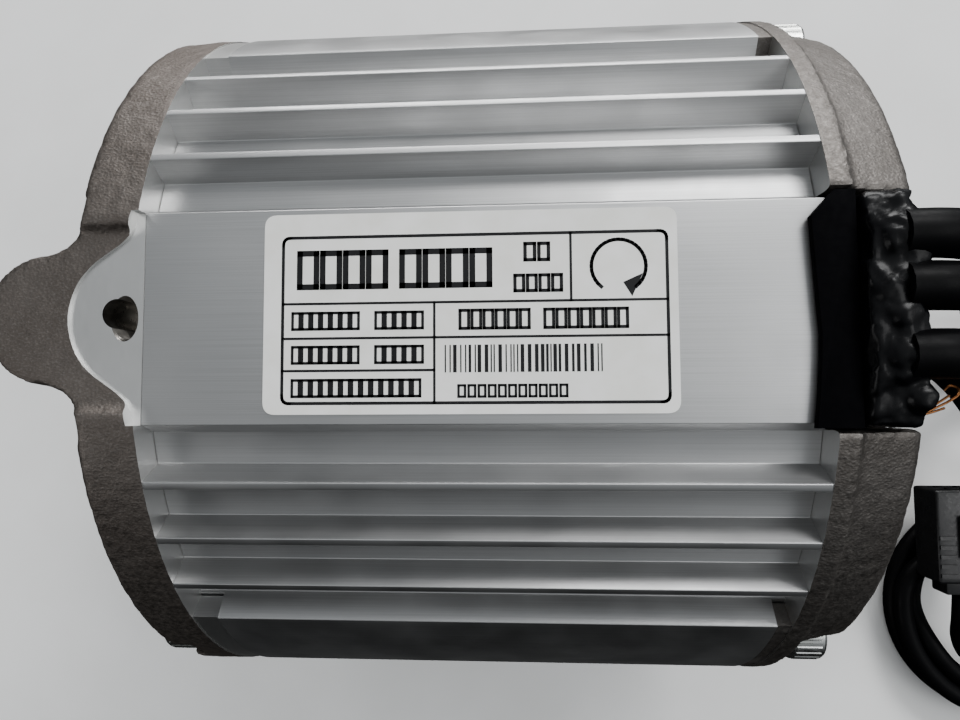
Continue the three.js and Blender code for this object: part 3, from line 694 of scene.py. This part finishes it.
def make_front_bell():
    casting = turned("front_casting", [
        (5, 44.5), (5, 47.7), (2, 47.7), (2, TIP_R), (-7, TIP_R), (-8, 55), (-8, 49.5), (-5.5, 47.5),
        (-5.5, 23.5), (-15, 21.5), (-16, 20.5), (-16, 14.3), (-10.3, 14.3), (-10.3, 17.8), (4.5, 17.8),
        (4.5, 21.5), (-0.5, 23.5), (-0.5, 44.5),
    ], FRONT_CAST, 144)
    disc = turned("disc", [(-21, 0), (-21, TIP_R), (2, TIP_R), (2, 0)], FRONT_CAST, 144)
    crown = rounded([(-12, 20), (12, 20), (12, 52), (9.8, 53.4), (-9.8, 53.4), (-12, 52)], 2.5, 6)
    lug = prism("lug", lug_plan(), 30, 60, FRONT_CAST, upright=True)
    combine(lug, "INTERSECT", disc, prism("crown", crown, -25, 5, FRONT_CAST))
    ribs = [turn(block("rib", (-7.6, -2, 21), (-5, 2, 50.4), FRONT_CAST), 30 + 60 * k) for k in range(6)]
    combine(casting, "UNION", lug, *ribs)
    pockets = [rod("pocket", -12, -4.5, 6, polar(TIE_R, angle), FRONT_CAST) for angle in TIE_ANGLES]
    relief = [*arc(40, 12, 15.7, 3), *arc(60, 15.7, 12, 3)]
    mirrored = [(-y, z) for y, z in relief]
    pockets += [prism("relief", outline, -10, -7.3, FRONT_CAST) for outline in (relief, mirrored)]
    flat = [(-10.6, 53.4), (10.6, 53.4), (13.6, 60), (-13.6, 60)]
    combine(casting, "DIFFERENCE", prism("flat", flat, -30, 1, FRONT_CAST), *pockets)
    remesh(casting, 0.5, 7)
    roughen(casting, 0.07, 1.6)
    mating = turned("mating", [(0, 47.7), (0, 60), (8, 60), (8, 47.7)], MACHINED, 144)
    combine(casting, "DIFFERENCE", mating)
    reach = FRONT_TONGUE - 0.1
    tongues = [tongue(-0.6, reach, angle, EXTRUDED, MACHINED) for angle in TIE_ANGLES]
    combine(casting, "UNION", *tongues)
    seat = prism("seat", seat_plan(), PAD_HEIGHT, 60, MACHINED, upright=True)
    foot = block("foot", (-30, -40, -70), (6, 40, -PAD_HEIGHT), MACHINED)
    # The tapped holes are cut with the thread finish, whose dark colour is painted shade inside the holes.
    holes = [
        thread_tool((-2.3, 0), 44.8, 60, SHADED_THREAD, 0.62),
        post("second_start", (-3.3, 0.6), 1.8, 46, 60, SHADED_THREAD),
        thread_tool((-2.9, 0), -60, -44.8, SHADED_THREAD),
    ]
    screws = [rod("screw", -6, 5, 2.8, polar(TIE_R, angle), MACHINED, 32) for angle in TIE_ANGLES]
    combine(casting, "DIFFERENCE", seat, foot, *holes, *screws)
    casting.name = "cast_front_bell"
    return settle(casting, STATIC, "cast_aluminium", "front_end_bell", angle=35)


def make_rear_bell():
    x = HOUSING_LENGTH
    casting = turned("rear_casting", [
        (REAR_BOSS, 0), (REAR_BOSS, 21), (x + 11, 23.5), (x + 11, 52.2), (x + 10, 53.3), (x + 2.7, 54.8),
        (x + 2.7, TIP_R), (x - 2, TIP_R), (x - 2, 47.7), (x - 5, 47.7), (x - 5, 44.5), (x + 6, 44.5),
        (x + 6, 25), (x + 2.5, 23.5), (x - 3, 21.5), (x - 3, 17.8), (x + 11.6, 17.8), (x + 11.6, 0),
    ], REAR_CAST, 144)
    tools = [rod("pocket", x + 3.7, x + 20, 6, polar(TIE_R, angle), REAR_CAST) for angle in TIE_ANGLES]
    tools.append(block("notch", (x - 6, -13.6, 42), (x + 12, 13.6, 70), REAR_CAST))
    combine(casting, "DIFFERENCE", *tools)
    remesh(casting, 0.5, 5)
    roughen(casting, 0.07, 1.4)
    mating = turned("mating", [(x - 8, 47.7), (x - 8, 60), (x, 60), (x, 47.7)], MACHINED, 144)
    combine(casting, "DIFFERENCE", mating)
    start = x + 0.1 - REAR_TONGUE
    tongues = [tongue(start, x + 0.6, angle, REAR_CAST, REAR_CAST) for angle in TIE_ANGLES]
    combine(casting, "UNION", *tongues)
    foot = block("foot", (x - 6, -40, -70), (x + 12, 40, -PAD_HEIGHT), MACHINED)
    screws = [rod("screw", x - 6, x + 5, 2.8, polar(TIE_R, angle), MACHINED, 32) for angle in TIE_ANGLES]
    # The bottom tapped hole takes the same thread finish, with its painted shade.
    combine(casting, "DIFFERENCE", foot, thread_tool((x + 4, 0), -58, -46, SHADED_THREAD), *screws)
    casting.name = "cast_rear_bell"
    return settle(casting, STATIC, "cast_aluminium", "rear_end_bell", angle=35)


def socket_screw(name):
    """A zinc-plated M5 socket-head screw with a knurled head, which points along +x from its seat."""
    screw = turned(name, [
        (-16, 0), (-16, 2.1), (0, 2.1), (0, 3.9), (0.3, 4.15), (4.4, 4.15), (4.8, 3.9), (5, 3.4), (5, 0),
    ], ZINC, 72)
    knurl = [polar(4.25 if n % 3 else 4.02, 5 * n) for n in range(72)]
    combine(screw, "UNION", prism("knurl", knurl, 0.6, 4.1, ZINC))
    socket = [polar(2.31, 60 * n) for n in range(6)]
    return combine(screw, "DIFFERENCE", prism("socket", socket, 2.2, 6, ZINC))


def make_tie_screws():
    """One screw in each pocket of both bells."""
    for k, angle in enumerate(TIE_ANGLES):
        for side, seat in (("front", -4.8), ("rear", HOUSING_LENGTH + 4)):
            screw = socket_screw(f"{side}_socket_screw_{k + 1}")
            if side == "front":
                screw.data.transform(Matrix.Rotation(math.pi, 4, "Z"))
            screw.data.transform(Matrix.Translation((seat, *polar(TIE_R, angle))))
            settle(screw, STATIC, "zinc_steel", f"{side}_tie_screw_{k + 1}")


# ---- cable outlet ---------------------------------------------------------------------------------------

def make_grommet():
    """The flat rubber grommet; its edge over the pad bows slightly inwards."""
    low, high, half = 77.6, 82.6, 13.3
    bow = [(low + 0.9 * (1 - (y / half) ** 2), y) for y in (-half + 1.3 * k for k in range(9))]
    bow += [(low + 0.1, half - 2.9), (low + 2.7, half)]
    lip = prism("rubber_grommet", [*bow, (high, half), (high, -half)], 53.35, 54.35, RUBBER, upright=True)
    plug = block("plug", (80.35, -half, 43), (high, half, 54), RUBBER)
    bevel(combine(lip, "UNION", plug), 0.3, 3)
    return settle(lip, STATIC, "rubber_seal", "cable_grommet")


def lump(place, size, stretch):
    """A ball of silicone, stretched along y and slightly flat."""
    ball = bmesh.new()
    shape = Matrix.Translation(place) @ Matrix.Diagonal((1, stretch, 0.8, 1))
    bmesh.ops.create_icosphere(ball, subdivisions=3, radius=size, matrix=shape)
    mesh = bpy.data.meshes.new("lump")
    ball.to_mesh(mesh)
    ball.free()
    return add("lump", mesh)


def make_sealant():
    """Hand-applied silicone: a lumpy bank that climbs each lead and runs out over the rim."""
    draw = random.Random(7)
    section = [(-13.2, 43), (13.2, 43), (13.2, 54.6), (8, 56.4), (-6, 56.6), (-13.2, 54.8)]
    bank = prism("silicone_bank", section, 83, 88.6, SEALANT)
    collars = ((7.8, 54.6, 3.7), (2.1, 54.4, 3.7), (-5.3, 54.6, 3.8), (-5, 47.6, 3.6))  # y, z, size
    lumps = [((86.6, y, z), size) for y, z, size in collars]
    for _ in range(30):
        place = (draw.uniform(83.8, 88), draw.uniform(-11, 11), draw.uniform(53, 55.8))
        lumps.append((place, draw.uniform(1.2, 2.6)))
    blobs = []
    for k, (place, size) in enumerate(lumps):
        stretch = 1 if k < len(collars) else draw.uniform(0.9, 1.9)
        blobs.append(lump(place, size, stretch))
    with bpy.context.temp_override(active_object=bank, selected_editable_objects=[bank, *blobs]):
        bpy.ops.object.join()
    remesh(bank, 0.35, 9)
    roughen(bank, 0.34, 2.6)
    for v in bank.data.vertices:
        v.co.x = min(max(v.co.x, 82.7), 90.6)
        v.co.y = min(max(v.co.y, -13.45), 13.45)
        v.co.z = min(v.co.z, 58.3)
    return settle(bank, STATIC, "silicone_sealant", "cable_sealant", angle=180)


def make_strands():
    """Stray copper strands that stick out of the silicone under the third phase lead."""
    routes = (
        (
            (60.8, -11.8, 106), (62.4, -11.4, 106.2), (63.8, -11.1, 106.2), (65, -10.8, 105.6),
            (67.3, -9.8, 104.5),
        ),
        (
            (61.5, -12.2, 105.6), (63.6, -11.7, 105.9), (65.6, -11, 105.3), (67.4, -10.3, 104.6),
            (68.6, -9.6, 104.1), (68.7, -8.9, 103.8), (68.1, -8.7, 103.4), (67.7, -9.2, 103),
        ),
        ((61, -12.6, 105), (63.2, -12, 105.6), (65.2, -11.6, 105), (66.9, -11.2, 104.2)),
    )
    for k, route in enumerate(routes):
        wire = tube("wire", smooth_route(route, 6), 0.28, COPPER)
        graph = bpy.context.evaluated_depsgraph_get()
        mesh = bpy.data.meshes.new_from_object(wire.evaluated_get(graph))
        drop(wire)
        made = add(f"copper_strand_{k + 1}", mesh)
        settle(made, STATIC, "copper_wire", space=Matrix.Identity(4), angle=60)


# ---- label ----------------------------------------------------------------------------------------------

PRINTED_WORDS = (  # x, y, width, height, count, gap and line width of a row of boxes
    (19.2, 3.4, 2.0, 4.0, 4, 0.75, 0.7), (31.4, 3.4, 2.0, 4.0, 4, 0.75, 0.7),
    (45.8, 6.2, 1.1, 1.9, 2, 0.5, 0.42), (44.6, 2.6, 1.0, 1.8, 4, 0.45, 0.4),
    (18.4, -1.6, 0.85, 1.9, 7, 0.32, 0.34), (28.3, -1.6, 0.85, 1.9, 5, 0.32, 0.34),
    (38.2, -1.7, 1.0, 2.1, 6, 0.4, 0.38), (48.0, -1.7, 1.0, 2.1, 7, 0.4, 0.38),
    (18.4, -5.6, 0.85, 1.9, 7, 0.32, 0.34), (28.3, -5.6, 0.85, 1.9, 5, 0.32, 0.34),
    (18.4, -9.5, 0.85, 1.9, 13, 0.34, 0.34), (38.0, -9.6, 0.75, 1.3, 11, 0.42, 0.3),
)


def flat_rect(x0, y0, x1, y1):
    return [(x0, y0), (x1, y0), (x1, y1), (x0, y1)]


def make_label():
    """Silver film with a printed table of placeholder marks: boxes, bars and a turning arrow."""
    top = PAD_HEIGHT + 0.25
    sheet = rounded(flat_rect(14.9, -11.6, 63.2, 12.1), 1.5, 6)
    film = prism("label_film", sheet, PAD_HEIGHT + 0.05, top, FILM, upright=True)
    settle(film, STATIC, "label_film", "rating_label")
    points, faces = [], []

    def fill(outline):
        start = len(points)
        points.extend((x, y, top + 0.015) for x, y in outline)
        faces.append(list(range(start, start + len(outline))))

    def line(x0, y0, x1, y1, width=0.3):
        along = Vector((x1 - x0, y1 - y0)).normalized() * width / 2
        side = Vector((-along.y, along.x))
        a, b = Vector((x0, y0)), Vector((x1, y1))
        fill([a - along - side, b + along - side, b + along + side, a - along + side])

    def frame_of(outline, width):
        for k, start in enumerate(outline):
            line(*start, *outline[(k + 1) % len(outline)], width)

    def boxes(x, y, wide, tall, count, gap, width=0.3):
        """A row of hollow boxes that stands for a word."""
        for k in range(count):
            left = x + k * (wide + gap)
            frame_of(flat_rect(left, y, left + wide, y + tall), width)

    left, right, low, high, column = 17.2, 62, -10.3, 9.3, 35.2
    frame_of(rounded(flat_rect(left, low, right, high), 0.9, 5), 0.38)
    for y in (1.4, -2.7, -6.5):
        line(left, y, right if y > -3 else column, y)
    line(column, 1.4, column, low)
    line(51.05, 1.4, 51.05, high)
    for word in PRINTED_WORDS:
        boxes(*word)
    draw, x = random.Random(3), 36.4
    while x < 54.4:
        width = draw.choice((0.16, 0.16, 0.3, 0.42))
        fill(flat_rect(x, -6.8, x + width, -3.6))
        x += width + draw.choice((0.18, 0.26, 0.4))
    centre, radius = (56.5, 5.3), 3.1
    ring = [math.radians(a) for a in range(-50, 231, 10)]
    turning = [(centre[0] + radius * math.cos(a), centre[1] + radius * math.sin(a)) for a in ring]
    for a, b in zip(turning, turning[1:]):
        line(*a, *b, 0.42)
    tip = turning[0]
    fill([(tip[0] - 1.5, tip[1] + 0.5), (tip[0] + 0.75, tip[1] + 1.5), (tip[0] - 0.5, tip[1] - 1.15)])
    mesh = bpy.data.meshes.new("label_print")
    mesh.from_pydata(points, [], faces)
    mesh.materials.append(INK)
    mesh.transform(MOTOR)
    ink = add("label_print", mesh)
    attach(ink, STATIC)


# ---- drive end ------------------------------------------------------------------------------------------

def make_shaft():
    thread = [(-41.4 + k / 2, 3.55 if k % 2 else 3.95) for k in range(16)]
    body = turned("motor_shaft", [
        (-42, 0), (-42, 3.2), (-41.6, 3.6), *thread, (-33.5, 3.95), (-33.5, 5.8), (-33.3, 6), (-26.2, 6),
        (-26.2, 7.2), (-25.9, 7.5), (14, 7.5), (14, 9.2), (66, 9.2), (66, 7.5), (88.4, 7.5), (89, 6.9),
        (89, 0),
    ], SHAFT_STEEL, 96)
    combine(body, "DIFFERENCE", block("keyway", (-33.2, -1.5, 4.2), (-26.4, 1.5, 9), SHAFT_STEEL))
    settle(body, SPINNING, "shaft_steel", "rotor_shaft")
    key = bevel(block("shaft_key", (-32.8, -1.2, 4.5), (-26.8, 1.2, 7.3), SHAFT_STEEL), 0.15)
    settle(key, SPINNING, "shaft_steel", "sprocket_key")


def make_sprocket():
    """A toothed wheel with round gaps for the chain rollers, on a short hub."""
    tooth = ((13, -4), (13, 4), (10.6, 10), (8.9, 17), (8.9, 28), (10.6, 35))  # radius, degrees
    outline = []
    for k in range(SPROCKET_TEETH):
        outline += [polar(radius, 360 / SPROCKET_TEETH * k + offset) for radius, offset in tooth]
    wheel = prism("chain_sprocket", rounded(outline, 1.6, 5), -32, -27.2, SHAFT_STEEL)
    bevel(wheel, 0.35, 2, 60)
    hub = [(-33.2, 0), (-33.2, 8.2), (-32.8, 8.6), (-27, 8.6), (-26.6, 8.2), (-26.6, 0)]
    combine(wheel, "UNION", turned("hub", hub, SHAFT_STEEL, 64))
    slot_box = block("slot", (-40, -1.5, 0), (-20, 1.5, 7.6), SHAFT_STEEL)
    combine(wheel, "DIFFERENCE", rod("bore", -40, -20, 6.3, (0, 0), SHAFT_STEEL), slot_box)
    settle(wheel, SPINNING, "shaft_steel", "drive_sprocket")


def make_washer_and_nut():
    washer = [(-35, 4.3), (-35, 8.2), (-34.8, 8.4), (-34, 8.4), (-33.8, 8.2), (-33.8, 4.3)]
    settle(turned("flat_washer", washer, ZINC, 64), SPINNING, "zinc_steel", "sprocket_washer")
    nut = prism("hexagon_nut", [polar(7.5, 60 * k + 30) for k in range(6)], -40.3, -35.3, ZINC)
    chamfer = [(-40.3, 0), (-40.3, 6.4), (-39.4, 7.6), (-36.2, 7.6), (-35.3, 6.4), (-35.3, 0)]
    combine(nut, "INTERSECT", turned("chamfer", chamfer, ZINC, 64))
    combine(nut, "DIFFERENCE", rod("bore", -45, -30, 4.3, (0, 0), ZINC))
    settle(nut, SPINNING, "zinc_steel", "sprocket_nut")


def make_shaft_seal():
    """The rubber seal round the shaft, with a thin lip on its inner edge."""
    profile = [
        (-15.7, 7.8), (-15.4, 8.6), (-14.8, 9.2), (-15.2, 11.6), (-15.7, 12.4), (-15.7, 13.8), (-15.4, 14),
        (-11.6, 14), (-11.6, 7.8),
    ]
    settle(turned("lip_seal", profile, RUBBER, 96), STATIC, "rubber_seal", "shaft_oil_seal")


def paint_inner_nodes():
    """Finishes for the CAD nodes that stay as they are, all inside the motor."""
    looks = {
        "bearing_steel": BEARING_STEEL, "lamination_steel": LAMINATION, "magnet_nickel": NICKEL,
        "copper_wire": COPPER, "nylon": NYLON, "circuit_board": BOARD, "black_plastic": BLACK_PLASTIC,
    }
    slots = {row["node"]: row["material_slot"] for row in frame["record"]["subparts"]}
    for name, node in frame["nodes"].items():
        look = looks.get(slots[name])
        if look and not node.hide_render:
            node.data.materials.clear()
            node.data.materials.append(look)
            shade(node)


def make_floor():
    floor = piece("floor", [(-3, -3, 0), (3, -3, 0), (3, 3, 0), (-3, 3, 0)], [[0, 1, 2, 3]], FLOOR)
    floor.visible_glossy = False


make_camera()
make_leads()
make_studio()
make_floor()
make_housing()
make_front_bell()
make_rear_bell()
make_tie_screws()
make_grommet()
make_sealant()
make_strands()
make_label()
make_shaft()
make_sprocket()
make_washer_and_nut()
make_shaft_seal()
paint_inner_nodes()
